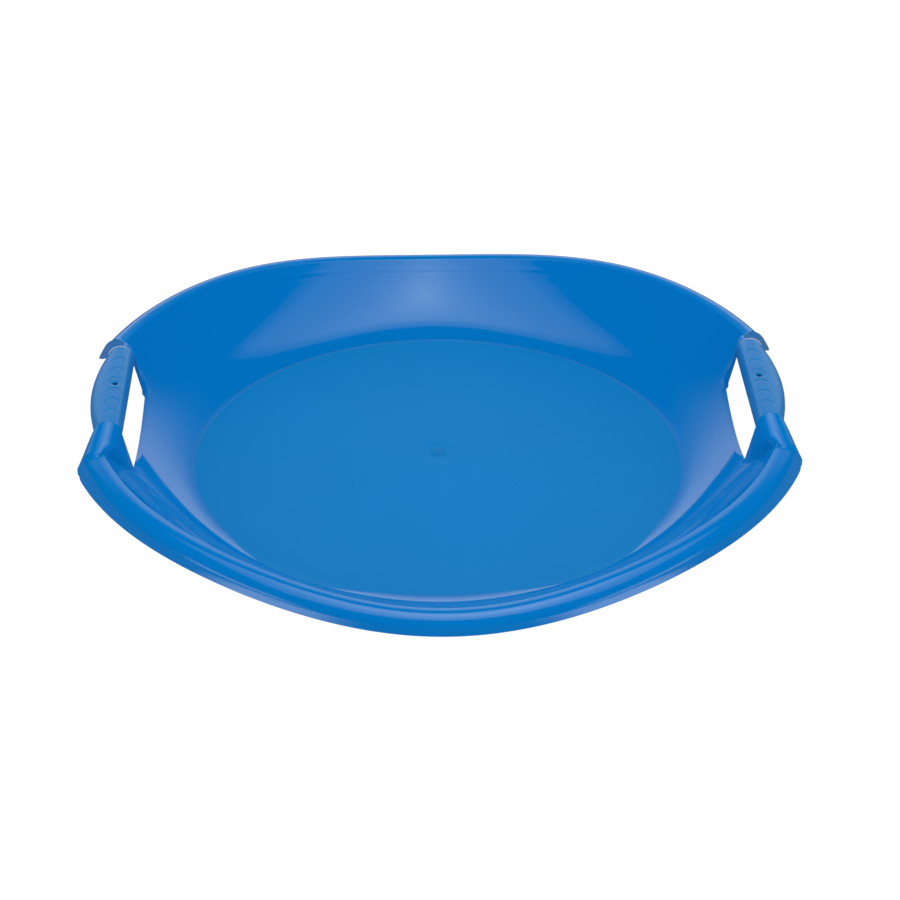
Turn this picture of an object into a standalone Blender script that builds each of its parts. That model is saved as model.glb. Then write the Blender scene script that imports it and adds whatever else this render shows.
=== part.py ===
# Round plastic saucer sled with a raised, gripped bow over a window at each side.
# Metres, +Z up. The origin lies on the ground under the middle of the dish, and the bows stand at +X and -X.

import math

import bmesh
import bpy

# Dish
WALL = 0.003  # thickness of the moulded sheet
FLOOR_RADIUS = 0.195  # edge of the matte floor
FLOOR_CROWN = 0.005  # rise of the floor's middle
RUNNING_BAND = 0.030  # width of the flat ring under the floor's edge
DIMPLE_RADIUS = 0.0135  # ring round the gate mark in the floor's middle
DIMPLE_DEPTH = 0.0009
WALL_FILLET = 0.010  # run of the curve between floor and wall
WALL_HOLLOW = 0.57  # 0 is a straight wall, 1 starts level and ends twice as steep

# Rim
CREST_RADIUS = 0.2783  # top of the rolled rim
SIDE_HEIGHT = 0.0633  # height of the crest at the sides
END_DIP = 0.0184  # how much lower the crest runs at the front and the back
ROLL_RADIUS = 0.0068
ROLL_INNER_TURN = 45  # degrees of roll from the crest to the groove
ROLL_OUTER_TURN = 70  # degrees of roll from the crest to the skirt
SKIRT_DEPTH = 0.0133  # from the crest down to the skirt's edge, at the front and the back
SKIRT_SIDE_DEPTH = 0.0027  # how much deeper the skirt is at the handles
SKIRT_FLARE = 0.0044  # how much wider it stands there
SKIRT_FLARE_START = 0.81  # sine of the azimuth where the skirt begins to widen
BEAD_OFFSET = 0.0075  # fine bead, inside the crest
BEAD_DROP = 0.0013
GROOVE_OFFSET = 0.0056
GROOVE_DROP = 0.0028
SHOULDER_OFFSET = 0.0088  # where the wall ends, inside the crest
SHOULDER_DROP = 0.0026

# Window and bow, across
SILL_INSET = 0.0405  # from the crest in to the window's lower edge
BOW_INSET = 0.0228  # from the crest in to the bow's middle line, where the grip begins
BOW_RISE = 0.0125  # from the crest up to the bow's top
BOW_RADIUS = 0.0106
BOW_WALL = 0.0025
BOW_BASE = 0.0180  # from the bow's middle line to the foot of its inner face
FOOT_STEP = 0.0006  # how far the bow's end stands proud of the rim
LIP_DROP = 0.0103  # from the bow's top down to the lower edge of its outer side
BAR_INSET = 0.0237  # from the crest in to the middle of the bar and its peg
BAR_WIDTH = 0.014
BAR_ROOT_WIDTH = 0.008
BAR_HEIGHT = 0.009
BAR_DROP = 0.0060  # from the bow's top down to the bar's top

# Window and bow, along Y
GRIP_HALF_LENGTH = 0.060  # half of the gap between the bow's two ends
BOW_LENGTH = 0.0325  # from there to the bow's foot on the rim
HOLLOW_LENGTH = 0.028  # from there to the end of the hollow under the bow
SKIRT_CUT_LENGTH = 0.028  # from there to the end of the skirt
SILL_SETBACK = 0.0040  # how much shorter the window's lower edge is, at each end
BAR_BEND_LENGTH = 0.007  # from the bow's end to where the bar starts to narrow into its roots
BAR_ROOT_LENGTH = 0.0142
BAR_END_LENGTH = 0.024

# Grip
SEAT = 0.0003  # clearance between pieces that touch
GRIP_INNER_REACH = 0.0107  # from the bow's middle line to the grip's inner side
GRIP_OUTER_REACH = 0.0177  # and to its outer side, at mid-length
GRIP_END_WIDTH = 0.0194
GRIP_TOP_DROP = 0.0005  # how much lower than the bow's top the grip's top is
GRIP_END_DROP = 0.0011  # and how much lower still at its ends
PARTING_DROP = 0.0113  # from the bow's top down to the joint between the two shells
GRIP_DEPTH = 0.0218  # from the bow's top down to the grip's underside
GRIP_SHELL = 0.0022
GRIP_FULLNESS = 2.3  # 2 is an ellipse, more is squarer
TONGUE_LENGTH = 0.004  # the part of each shell that sits under the bow's end
WEB = 0.002  # cross webs that rest on the bar
BOSS = 0.008  # length of the middle web, which holds the peg
HOLE_RADIUS = 0.00225
PEG_DEPTH = 0.0032  # from the grip's top down to the peg's tip
GROOVES = 6
FINGER_DEPTH = 0.0007
FINGER_HALF_WIDTH = 0.0024

COLUMNS = 96  # facets round the dish

# Worked out from the values above
floor_flat = FLOOR_RADIUS - RUNNING_BAND
wall_start = FLOOR_RADIUS + WALL_FILLET
shoulder_radius = CREST_RADIUS - SHOULDER_OFFSET
roll_lean = math.radians(90 - ROLL_OUTER_TURN)
roll_edge = CREST_RADIUS + ROLL_RADIUS * math.cos(roll_lean)
roll_edge_drop = ROLL_RADIUS * (1 - math.sin(roll_lean))
sill_x = CREST_RADIUS - SILL_INSET
bow_centre = CREST_RADIUS - BOW_INSET
bar_centre = CREST_RADIUS - BAR_INSET
bow_top = SIDE_HEIGHT + BOW_RISE
bow_foot = GRIP_HALF_LENGTH + BOW_LENGTH
skirt_cut = GRIP_HALF_LENGTH + SKIRT_CUT_LENGTH
foot_centre = math.sqrt(CREST_RADIUS**2 - bow_foot**2)
foot_top = SIDE_HEIGHT + FOOT_STEP
lip_height = bow_top - LIP_DROP
bar_top = bow_top - BAR_DROP
grip_inner = bow_centre - GRIP_INNER_REACH
grip_bulge = GRIP_INNER_REACH + GRIP_OUTER_REACH
grip_top = bow_top - GRIP_TOP_DROP
grip_parting = bow_top - PARTING_DROP
grip_bottom = bow_top - GRIP_DEPTH
groove_pitch = 2 * GRIP_HALF_LENGTH / (GROOVES + 1.3)


def clear_scene():
    for obj in list(bpy.data.objects):
        bpy.data.objects.remove(obj, do_unlink=True)


def plastic(name, colour, roughness):
    material = bpy.data.materials.new(name)
    material.use_nodes = True
    shader = material.node_tree.nodes["Principled BSDF"]
    shader.inputs["Base Color"].default_value = (*colour, 1)
    shader.inputs["Roughness"].default_value = roughness
    shader.inputs["Metallic"].default_value = 0
    return material


def solid(name, mesh_builder):
    mesh = bpy.data.meshes.new(name)
    bmesh.ops.recalc_face_normals(mesh_builder, faces=mesh_builder.faces)
    mesh_builder.to_mesh(mesh)
    mesh_builder.free()
    obj = bpy.data.objects.new(name, mesh)
    bpy.context.scene.collection.objects.link(obj)
    return obj


def add_loft(builder, rings):
    """Skins equal closed rings in order and caps the first and the last."""
    loops = [[builder.verts.new(point) for point in ring] for ring in rings]
    for near, far in zip(loops, loops[1:]):
        for i in range(len(near)):
            j = (i + 1) % len(near)
            builder.faces.new((near[i], near[j], far[j], far[i]))
    builder.faces.new(list(reversed(loops[0])))
    builder.faces.new(loops[-1])


def loft(name, *sets_of_rings):
    builder = bmesh.new()
    for rings in sets_of_rings:
        add_loft(builder, rings)
    return solid(name, builder)


def as_helper(obj):
    obj.hide_render = True
    obj.display_type = "WIRE"
    return obj


def combine(obj, other, operation):
    modifier = obj.modifiers.new(other.name, "BOOLEAN")
    modifier.operation = operation
    modifier.solver = "EXACT"
    modifier.object = as_helper(other)


def finish(obj, material, angle=35):
    obj.data.materials.append(material)
    obj.data.shade_smooth()
    obj.data.set_sharp_from_angle(angle=math.radians(angle))
    return obj


def crest_height(azimuth):
    """The rim stands high at the sides and dips at the front and the back."""
    return SIDE_HEIGHT - END_DIP * math.sin(azimuth) ** 8


def skirt_edge(azimuth):
    """Radius and drop of the skirt's edge: it hangs lower and stands wider towards the handles."""
    sine = abs(math.sin(azimuth))
    flare = SKIRT_FLARE * max((SKIRT_FLARE_START - sine) / (SKIRT_FLARE_START - 0.3), 0) ** 1.4
    drop = SKIRT_DEPTH + SKIRT_SIDE_DEPTH * (1 - sine**4)
    return roll_edge + (SKIRT_DEPTH - roll_edge_drop) * math.tan(roll_lean) + flare, drop


def skirt_x(y):
    """X of the skirt's edge at a given Y, on the +X side."""
    azimuth = math.asin(min(y / CREST_RADIUS, 1))
    return math.sqrt(skirt_edge(azimuth)[0] ** 2 - y**2)


def floor_height(radius):
    if radius >= floor_flat:
        return 0
    return FLOOR_CROWN * (1 + math.cos(math.pi * radius / floor_flat)) / 2


def wall_rise(azimuth):
    run = shoulder_radius - wall_start
    height = crest_height(azimuth) - SHOULDER_DROP - WALL
    return height / (1 + (1 - WALL_HOLLOW) * WALL_FILLET / (2 * run))


def wall_point(azimuth, radius):
    """Height and slope of the sloping wall's upper face."""
    run = shoulder_radius - wall_start
    rise = wall_rise(azimuth)
    start_slope = rise / run * (1 - WALL_HOLLOW)
    if radius <= wall_start:
        reach = radius - FLOOR_RADIUS
        return WALL + start_slope * reach**2 / (2 * WALL_FILLET), start_slope * reach / WALL_FILLET
    u = (radius - wall_start) / run
    height = WALL + start_slope * WALL_FILLET / 2 + rise * ((1 - WALL_HOLLOW) * u + WALL_HOLLOW * u**2)
    return height, rise / run * (1 - WALL_HOLLOW + 2 * WALL_HOLLOW * u)


def roll_point(azimuth, turn, radius):
    angle = math.radians(turn)
    height = crest_height(azimuth) - ROLL_RADIUS
    return CREST_RADIUS + radius * math.sin(angle), height + radius * math.cos(angle)


def spread(first, last, count):
    return [first + (last - first) * i / (count - 1) for i in range(count)]


def top_section(azimuth):
    """Upper face of the dish as (radius, height), from the middle out to the skirt's edge."""
    crest = crest_height(azimuth)
    points = [(DIMPLE_RADIUS * share, floor_height(0) + WALL - DIMPLE_DEPTH) for share in (0.12, 0.45)]
    points += [(radius, floor_height(radius) + WALL) for radius in (DIMPLE_RADIUS, 0.35 * floor_flat)]
    radii = (0.7 * floor_flat, floor_flat, FLOOR_RADIUS)
    points += [(radius, floor_height(radius) + WALL) for radius in radii]
    radii = spread(FLOOR_RADIUS, wall_start, 3)[1:] + spread(wall_start, shoulder_radius, 7)[1:]
    points += [(radius, wall_point(azimuth, radius)[0]) for radius in radii]
    points.append((CREST_RADIUS - BEAD_OFFSET, crest - BEAD_DROP))
    points.append((CREST_RADIUS - GROOVE_OFFSET, crest - GROOVE_DROP))
    turns = spread(-ROLL_INNER_TURN, ROLL_OUTER_TURN, 6)
    points += [roll_point(azimuth, turn, ROLL_RADIUS) for turn in turns]
    radius, drop = skirt_edge(azimuth)
    points.append((radius, crest - drop))
    return points


def under_section(azimuth):
    """Lower face of the dish as (radius, height), from the skirt's edge back to the middle."""
    crest = crest_height(azimuth)
    radius, drop = skirt_edge(azimuth)
    lean = math.atan2(radius - roll_edge, drop - roll_edge_drop)
    points = [(radius - WALL / math.cos(lean), crest - drop)]
    points += [roll_point(azimuth, turn, ROLL_RADIUS - WALL) for turn in (ROLL_OUTER_TURN, 30, -10)]
    for radius in reversed(spread(FLOOR_RADIUS, shoulder_radius, 6)):
        height, slope = wall_point(azimuth, radius)
        angle = math.atan(slope)
        points.append((radius + WALL * math.sin(angle), height - WALL * math.cos(angle)))
    points += [(radius, floor_height(radius)) for radius in (floor_flat, 0.7 * floor_flat, 0.35 * floor_flat)]
    points.append((DIMPLE_RADIUS, floor_height(DIMPLE_RADIUS)))
    return points


def dish_shell():
    azimuths = [2 * math.pi * i / COLUMNS for i in range(COLUMNS)]
    sections = [top_section(azimuth) + under_section(azimuth) for azimuth in azimuths]
    rings = []
    for row in range(len(sections[0])):
        ring = []
        for azimuth, section in zip(azimuths, sections):
            radius, height = section[row]
            ring.append((radius * math.cos(azimuth), radius * math.sin(azimuth), height))
        rings.append(ring)
    return loft("dish", rings)


def sheet_middle(x, y):
    """Height of the middle of the dish's sheet, inside the crest."""
    radius = min(math.hypot(x, y), CREST_RADIUS)
    azimuth = math.atan2(y, x)
    if radius > shoulder_radius:
        return crest_height(azimuth) - WALL / 2 - SHOULDER_DROP * (CREST_RADIUS - radius) / SHOULDER_OFFSET
    return wall_point(azimuth, radius)[0] - WALL / 2


def eased(value):
    value = min(max(value, 0), 1)
    return value * value * (3 - 2 * value)


def bow_share(y):
    """0 where the grip begins, 1 at the bow's foot on the rim."""
    return min(max((y - GRIP_HALF_LENGTH) / BOW_LENGTH, 0), 1)


def bow_ridge(y):
    """The bow's highest line as (x, z)."""
    share = bow_share(y)
    return bow_centre + (foot_centre - bow_centre) * share, bow_top - (bow_top - foot_top) * share**1.2


def outer_line(y):
    """Plan line of the cut along the bow's outer side, from the grip's end out past the skirt."""
    start = bow_centre + BOW_RADIUS
    end = skirt_x(skirt_cut) + 2 * FOOT_STEP
    return start + (end - start) * (y - GRIP_HALF_LENGTH) / SKIRT_CUT_LENGTH


def flank_profile(share, reach, drop, steps=6):
    """Outer side of the bow as shares of its width and depth: round at the grip, like the rim at the foot."""
    blend = eased(share)
    profile = []
    for i in range(1, steps):
        round_angle = math.pi / 2 * i / (steps - 1)
        turn = math.radians(ROLL_OUTER_TURN) * i / (steps - 2)
        rolled = (1, 1)
        if i < steps - 1:
            rolled = (ROLL_RADIUS * math.sin(turn) / reach, ROLL_RADIUS * (1 - math.cos(turn)) / drop)
        across = (1 - blend) * math.sin(round_angle) + blend * rolled[0]
        down = (1 - blend) * (1 - math.cos(round_angle)) + blend * rolled[1]
        profile.append((across, down))
    return profile


def bow_section(y, inset=0):
    """Ring across the bow at Y: its solid outer form, or with an inset the hollow under it."""
    share = bow_share(y)
    ridge_x, ridge_z = bow_ridge(y)
    edge = min(max(outer_line(y), bow_centre + BOW_RADIUS), skirt_x(y)) + FOOT_STEP
    edge_drop = skirt_edge(math.asin(min(y / CREST_RADIUS, 1)))[1]
    lip_fall = lip_height - SIDE_HEIGHT + edge_drop - FOOT_STEP
    lip = lip_height - lip_fall * max((y - GRIP_HALF_LENGTH) / SKIRT_CUT_LENGTH, 0)
    base = max(BOW_BASE * (1 - share**2.6) ** 1.05, 2 * FOOT_STEP)
    foot_x = ridge_x - base
    drop = min(BOW_RADIUS * (1 - 0.3 * share), 0.75 * (ridge_z - sheet_middle(foot_x, y)))
    inner = min(BOW_RADIUS, 0.8 * base) - inset
    if not inset:
        lip = max(lip - 2 * FOOT_STEP, SIDE_HEIGHT - edge_drop + FOOT_STEP / 2)
    top = ridge_z - inset
    curve = [(inner * math.cos(a), (drop - inset) * (1 - math.sin(a))) for a in spread(0, math.pi / 2, 5)]
    points = [(ridge_x - across, top - down) for across, down in curve]
    reach = edge - ridge_x - inset
    flank = flank_profile(share, edge - ridge_x, ridge_z - lip)
    points += [(ridge_x + reach * across, top - (top - lip) * down) for across, down in flank]
    if inset:
        foot_x += 1.1 * inset
        outside = edge + 2 * BOW_WALL
        return points + [(outside, lip), (outside, WALL), (foot_x, WALL), (foot_x, sheet_middle(foot_x, y))]
    crest_x = math.sqrt(CREST_RADIUS**2 - y**2)
    return points + [(x, sheet_middle(x, y)) for x in spread(min(edge, crest_x) - FOOT_STEP, foot_x, 5)]


def bow_end(side, end, inset=0):
    """One end of a bow, from inside the grip's gap to its foot on the rim."""
    first = GRIP_HALF_LENGTH - (SEAT if inset else FOOT_STEP)
    length = (HOLLOW_LENGTH if inset else BOW_LENGTH) + GRIP_HALF_LENGTH - first
    stations = [first - BOW_RADIUS] + [first + length * math.sin(a) for a in spread(0, math.pi / 2, 9)]
    return [[(side * x, end * y, z) for x, z in bow_section(y, inset)] for y in stations]


def opening(side):
    """Cutter for the window, for the gap that the grip fills and for the skirt's gap, with upright walls."""
    far = skirt_cut + 2 * SKIRT_CUT_LENGTH
    half = [
        (sill_x, GRIP_HALF_LENGTH - SILL_SETBACK),
        (bow_centre - BOW_RADIUS + SEAT, GRIP_HALF_LENGTH),
        (outer_line(GRIP_HALF_LENGTH), GRIP_HALF_LENGTH),
        (outer_line(far), far),
    ]
    outline = half + [(x, -y) for x, y in reversed(half)]
    return [[(side * x, y, z) for x, y in outline] for z in (-WALL, 2 * bow_top)]


def bar(side):
    """The slim bar, moulded with the dish, that runs from bow end to bow end inside the grip."""
    bend = GRIP_HALF_LENGTH + BAR_BEND_LENGTH
    root = GRIP_HALF_LENGTH + BAR_ROOT_LENGTH
    end = GRIP_HALF_LENGTH + BAR_END_LENGTH
    half = [(bend, BAR_WIDTH), (root, BAR_ROOT_WIDTH), (end, BAR_ROOT_WIDTH)]
    rings = []
    for y, width in [(-y, width) for y, width in reversed(half)] + half:
        ridge_x, ridge_z = bow_ridge(abs(y))
        centre = ridge_x if abs(y) > bend else bar_centre
        top = min(bar_top, ridge_z - 0.7 * BOW_WALL)
        low = top - BAR_HEIGHT * width / BAR_WIDTH
        corners = ((-1, low), (1, low), (1, top), (-1, top))
        rings.append([(side * (centre + i * width / 2), y, z) for i, z in corners])
    return rings


def cylinder(x, y, radius, low, high, corners=16):
    angles = [2 * math.pi * i / corners for i in range(corners)]
    return [[(x + radius * math.cos(a), y + radius * math.sin(a), z) for a in angles] for z in (low, high)]


def make_dish(material):
    dish = dish_shell()
    sides = (1, -1)
    corners = [(side, end) for side in sides for end in (1, -1)]
    combine(dish, loft("bow_ends", *[bow_end(side, end) for side, end in corners]), "UNION")
    combine(dish, loft("bow_hollows", *[bow_end(side, end, BOW_WALL) for side, end in corners]), "DIFFERENCE")
    combine(dish, loft("openings", *[opening(side) for side in sides]), "DIFFERENCE")
    combine(dish, loft("bars", *[bar(side) for side in sides]), "UNION")
    holes = [cylinder(side * bar_centre, 0, HOLE_RADIUS, 0, 2 * bow_top) for side in sides]
    combine(dish, loft("peg_passages", *holes), "DIFFERENCE")
    return finish(dish, material)


def groove_places():
    return [groove_pitch * (i - (GROOVES - 1) / 2) for i in range(GROOVES)]


def finger_groove(y):
    shares = [math.exp(-2 * ((y - place) / FINGER_HALF_WIDTH) ** 2) for place in groove_places()]
    return FINGER_DEPTH * sum(shares)


def grip_width(y):
    return grip_bulge - (grip_bulge - GRIP_END_WIDTH) * (y / GRIP_HALF_LENGTH) ** 2


def grip_crown(y):
    return grip_top - GRIP_END_DROP * (y / GRIP_HALF_LENGTH) ** 2


def half_ring(centre, half_width, base, height, fullness=GRIP_FULLNESS, steps=12):
    """Half of a full ellipse across the grip, above its base line or, with a negative height, below it."""
    points = []
    for a in spread(0, math.pi, steps + 1):
        across = math.copysign(abs(math.cos(a)) ** (2 / fullness), math.cos(a))
        points.append((centre - half_width * across, base + height * abs(math.sin(a)) ** (2 / fullness)))
    return points


def grip_end():
    return GRIP_HALF_LENGTH - SEAT


def grip_section(upper, y, inset=0):
    """Ring across one shell at Y, or with an inset across the hollow inside it."""
    base = grip_parting if upper else grip_parting - SEAT
    groove = finger_groove(y) if upper and not inset else 0
    half_width = grip_width(y) / 2 - inset - groove / 2
    height = grip_crown(y) - groove - inset - base if upper else grip_bottom + inset - base
    points = half_ring(grip_inner + grip_width(y) / 2, half_width, base, height)
    if inset:
        past = base - math.copysign(inset, height)
        points = [(points[0][0], past)] + points + [(points[-1][0], past)]
    return [(x, y, z) for x, z in points]


def tongue_section(y):
    """Ring across the tongue that tucks the upper shell under the bow's end."""
    base = bar_top + 2 * SEAT
    ridge_x, ridge_z = bow_ridge(abs(y))
    top = ridge_z - BOW_WALL - 1.5 * SEAT
    radius = BOW_RADIUS - BOW_WALL - 7 * SEAT
    half_width = math.sqrt(radius**2 - (base - top + radius) ** 2)
    return [(x, y, z) for x, z in half_ring(ridge_x, half_width, base, top - base, 2)]


def upper_form():
    offsets = (-FINGER_HALF_WIDTH, 0, FINGER_HALF_WIDTH)
    places = [place + offset for place in groove_places() for offset in offsets]
    end = grip_end()
    body = [SEAT - end] + [-0.85 * end] + places + [0.85 * end] + [end - SEAT]
    rings = [grip_section(True, y) for y in body]
    tip = end + TONGUE_LENGTH
    return [tongue_section(-tip), tongue_section(-end)] + rings + [tongue_section(end), tongue_section(tip)]


def lower_form():
    return [grip_section(False, y) for y in spread(-grip_end(), grip_end(), 11)]


def hollow_form(upper):
    end = grip_end() - GRIP_SHELL
    return [grip_section(upper, y, GRIP_SHELL) for y in spread(-end, end, 9)]


def mirrored(rings, side):
    return [[(side * x, y, z) for x, y, z in ring] for ring in rings]


def box(x, y, z):
    corners = ((x[0], y[0]), (x[1], y[0]), (x[1], y[1]), (x[0], y[1]))
    return [[(across, along, level) for across, along in corners] for level in z]


def make_grip_shell(name, side, upper, material):
    shell = loft(name, mirrored(upper_form() if upper else lower_form(), side))
    hollow = loft(name + "_hollow", mirrored(hollow_form(upper), side))
    wide = (grip_inner - GRIP_SHELL, grip_inner + grip_bulge + GRIP_SHELL)
    tall = (0, 2 * bow_top)
    webs = [(-GRIP_HALF_LENGTH / 2, WEB), (0, BOSS), (GRIP_HALF_LENGTH / 2, WEB)]
    web_boxes = [mirrored(box(wide, (y - length / 2, y + length / 2), tall), side) for y, length in webs]
    combine(hollow, loft(name + "_webs", *web_boxes), "DIFFERENCE")
    combine(shell, hollow, "DIFFERENCE")
    half = BAR_WIDTH / 2 + SEAT
    slot_z = (0, bar_top + SEAT) if upper else (bar_top - BAR_HEIGHT - SEAT, 2 * bow_top)
    slot = box((bar_centre - half, bar_centre + half), (-2 * GRIP_HALF_LENGTH, 2 * GRIP_HALF_LENGTH), slot_z)
    combine(shell, loft(name + "_bar_slot", mirrored(slot, side)), "DIFFERENCE")
    if upper:
        hole = cylinder(side * bar_centre, 0, HOLE_RADIUS, 0, 2 * bow_top)
        combine(shell, loft(name + "_hole", hole), "DIFFERENCE")
    else:
        low = grip_bottom + GRIP_SHELL / 2
        peg = cylinder(side * bar_centre, 0, HOLE_RADIUS - SEAT, low, grip_top - PEG_DEPTH)
        combine(shell, loft(name + "_peg", peg), "UNION")
    return finish(shell, material)


def main():
    clear_scene()
    make_dish(plastic("gloss_blue", (0.003, 0.155, 0.52), 0.16))
    matte = plastic("matte_blue", (0.012, 0.195, 0.53), 0.55)
    for side, word in ((-1, "left"), (1, "right")):
        make_grip_shell(word + "_grip_upper", side, True, matte)
        make_grip_shell(word + "_grip_lower", side, False, matte)


main()
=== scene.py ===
import math

import bmesh
import bpy
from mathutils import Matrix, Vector


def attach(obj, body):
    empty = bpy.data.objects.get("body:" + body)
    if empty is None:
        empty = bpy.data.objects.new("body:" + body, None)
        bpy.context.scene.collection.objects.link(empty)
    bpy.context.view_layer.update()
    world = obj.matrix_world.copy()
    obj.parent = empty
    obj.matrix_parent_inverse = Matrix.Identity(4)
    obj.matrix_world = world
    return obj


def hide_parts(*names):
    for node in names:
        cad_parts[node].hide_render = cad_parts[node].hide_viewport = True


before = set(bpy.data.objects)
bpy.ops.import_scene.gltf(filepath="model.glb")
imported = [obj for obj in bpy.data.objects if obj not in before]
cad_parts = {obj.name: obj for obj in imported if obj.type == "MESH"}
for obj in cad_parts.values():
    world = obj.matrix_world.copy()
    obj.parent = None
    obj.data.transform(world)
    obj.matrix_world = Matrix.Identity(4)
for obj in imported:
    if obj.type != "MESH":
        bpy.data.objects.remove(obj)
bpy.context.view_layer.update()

print("frame loaded:", len(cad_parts), "nodes")

# lengths are in metres, colours are linear

saucer = {
    "sheet": 0.003,
    "floorRadius": 0.195,  # edge of the matte floor
    "floorFlat": 0.165,
    "floorCrown": 0.005,
    "filletRun": 0.010,
    "wallHollow": 0.57,
    "crestRadius": 0.2762,
    "sideHeight": 0.0636,
    "endDip": 0.0184,  # the crest runs this much lower at the front and the back
    "dipBend": 8,  # the higher, the longer it stays level beside the handles
    "shoulderRadius": 0.2695,
    "shoulderDrop": 0.0023,
    "bandSlope": 0.194,  # the rim's flat band falls inwards from the crest
    "bandRound": 0.00194,
    "bandWidth": 0.010,
    "bandMerge": 0.0007,  # how softly the wall passes over into the band
    "rollRadius": 0.0115,
    "rollShare": 0.6,  # how much of the way from the crest to the skirt's edge is roll
    "beadRadius": 0.2640,
    "beadHeight": 0.00016,
    "beadWidth": 0.0007,
    "grooveRadius": 0.2622,
    "grooveDepth": 0.00014,
    "grooveWidth": 0.0005,
    "rippleEnd": (30, 22),  # bead and groove fade out between these angles off the handles
    "skirtRadius": 0.2879,
    "skirtDepth": 0.0136,
    "skirtSideDepth": 0.0026,
    "skirtFlare": 0.0044,
    "flareStart": 0.81,  # sine of the angle off the handles at which the flare starts
    "flareSpan": 0.51,
    "flareBend": 1.4,
    "gateRadius": 0.0130,
    "gateDepth": 0.0010,
    "gateSoft": 0.003,
    "stubRadius": 0.0078,  # low round stub where the plastic came in
    "stubTop": 0.4,  # share of its radius that is flat
    "stubHeight": 0.0014,
    "edgeRound": 0.0004,
    "sharpAngle": 60,
    "cornerTrim": 0.07,  # rounds the skirt's corner beside each bow
    "cornerWidth": 0.0042,
}

bow = {
    "sillX": 0.2382,  # lower edge of the hand opening
    "sillEnd": 0.0577,
    "gripEnd": 0.060,
    "gripSide": 0.2448,
    "cornerSheet": 0.5,  # how much thinner the sheet is at the opening's corners
    "foot": 0.0925,
    "cut": 0.088,  # where the skirt ends beside the bow
    "centre": 0.2555,
    "top": 0.0756,
    "ridgeBend": 0.92,
    "radius": 0.0107,
    "base": 0.0173,  # how far its inner face reaches in at the grip
    "baseBend": 1.25,
    "baseSwell": 0.0012,
    "swellEnd": 0.6,  # share of the way to the foot over which the base swells
    "baseLeast": 0.0006,
    "roundReach": 0.85,  # largest shares of its base and of its height that are round
    "roundDrop": 0.75,
    "roundFall": 0.3,
    "footStep": 0.0014,  # the bow's foot stands on the rim with a small step
    "stepStart": 0.93,  # share of the way to the foot at which the step falls
    "broad": 0.10,  # how much flatter its top is there than the rim's
    "broadStart": 0.5,
    "broadEnd": 0.92,
    "lip": 0.0655,
    "creaseRound": 0.0011,
    "barX": 0.2546,
    "barHalf": 0.007,
    "barTop": 0.0698,
    "barHeight": 0.009,
    "barBend": 0.066,  # beyond this the bar is slimmer and lies lower and further out
    "barEnd": 0.078,
    "barSlim": 0.55,
    "barShift": 0.0035,
    "barDrop": 0.003,
    "barRound": 0.0004,
}


class Wire:
    # a node socket that takes part in plain Python sums
    def __init__(self, tree, socket=None):
        self.tree = tree
        self.socket = socket

    def put(self, slot, value):
        if isinstance(value, Wire):
            self.tree.links.new(value.socket, slot)
        elif value is not None:
            slot.default_value = value

    def node(self, kind, settings=None, values=None, out=0):
        made = self.tree.nodes.new(kind)
        for name, value in (settings or {}).items():
            setattr(made, name, value)
        for name, value in (values or {}).items():
            self.put(made.inputs[name], value)
        return Wire(self.tree, made.outputs[out])

    def also(self, out):
        # another output of the same node
        return Wire(self.tree, self.socket.node.outputs[out])

    def sums(self, operation, *values):
        return self.node("ShaderNodeMath", {"operation": operation}, dict(enumerate(values)))

    def math(self, operation, *others):
        # this socket and the others go into one node
        return self.sums(operation, self, *others)

    def vector(self, operation, *values, out=0):
        return self.node("ShaderNodeVectorMath", {"operation": operation}, dict(enumerate(values)), out)

    def __add__(self, other):
        return self.math("ADD", other)

    def __sub__(self, other):
        return self.math("SUBTRACT", other)

    def __mul__(self, other):
        return self.math("MULTIPLY", other)

    def __truediv__(self, other):
        return self.math("DIVIDE", other)

    def __pow__(self, other):
        return self.math("POWER", other)

    def __rsub__(self, other):
        return self.sums("SUBTRACT", other, self)

    def __rtruediv__(self, other):
        return self.sums("DIVIDE", other, self)

    __radd__ = __add__
    __rmul__ = __mul__

    def __neg__(self):
        return self * -1

    def __abs__(self):
        return self.math("ABSOLUTE")

    def clamp(self, low=0.0, high=1.0):
        return self.node("ShaderNodeClamp", None, {0: self, 1: low, 2: high})

    def bell(self, centre, width):
        # 1 at the centre, fading out over the width
        reach = (self - centre) / width
        return (reach * reach * -1).math("EXPONENT")

    def ramp(self, low, high, first=0.0, last=1.0):
        settings = {"interpolation_type": "SMOOTHSTEP"}
        return self.node("ShaderNodeMapRange", settings, {0: self, 1: low, 2: high, 3: first, 4: last})

    def fall(self, low, high):
        return self.ramp(low, high, 1.0, 0.0)

    def xyz(self):
        parts = self.node("ShaderNodeSeparateXYZ", None, {0: self})
        return [parts.also(axis) for axis in range(3)]

    def combine(self, x, y, z):
        return self.node("ShaderNodeCombineXYZ", None, {0: x, 1: y, 2: z})

    def mixColour(self, factor, first, second, blend="MIX"):
        settings = {"data_type": "RGBA", "blend_type": blend}
        return self.node("ShaderNodeMix", settings, {0: factor, 6: first, 7: second}, out=2)


def label(name):
    # name of a value as a socket's label: floorRadius becomes Floor Radius
    return "".join(" " + sign if sign.isupper() else sign for sign in name).title()


def geometryTree(name, sizes):
    # a node tree with a geometry socket and one named number for each size
    tree = bpy.data.node_groups.new(name, "GeometryNodeTree")
    tree.interface.new_socket("Geometry", in_out="INPUT", socket_type="NodeSocketGeometry")
    for title in sizes:
        tree.interface.new_socket(title, in_out="INPUT", socket_type="NodeSocketFloat")
    tree.interface.new_socket("Geometry", in_out="OUTPUT", socket_type="NodeSocketGeometry")
    start = tree.nodes.new("NodeGroupInput")
    wires = {output.name: Wire(tree, output) for output in start.outputs if output.name}
    return tree, wires


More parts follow.
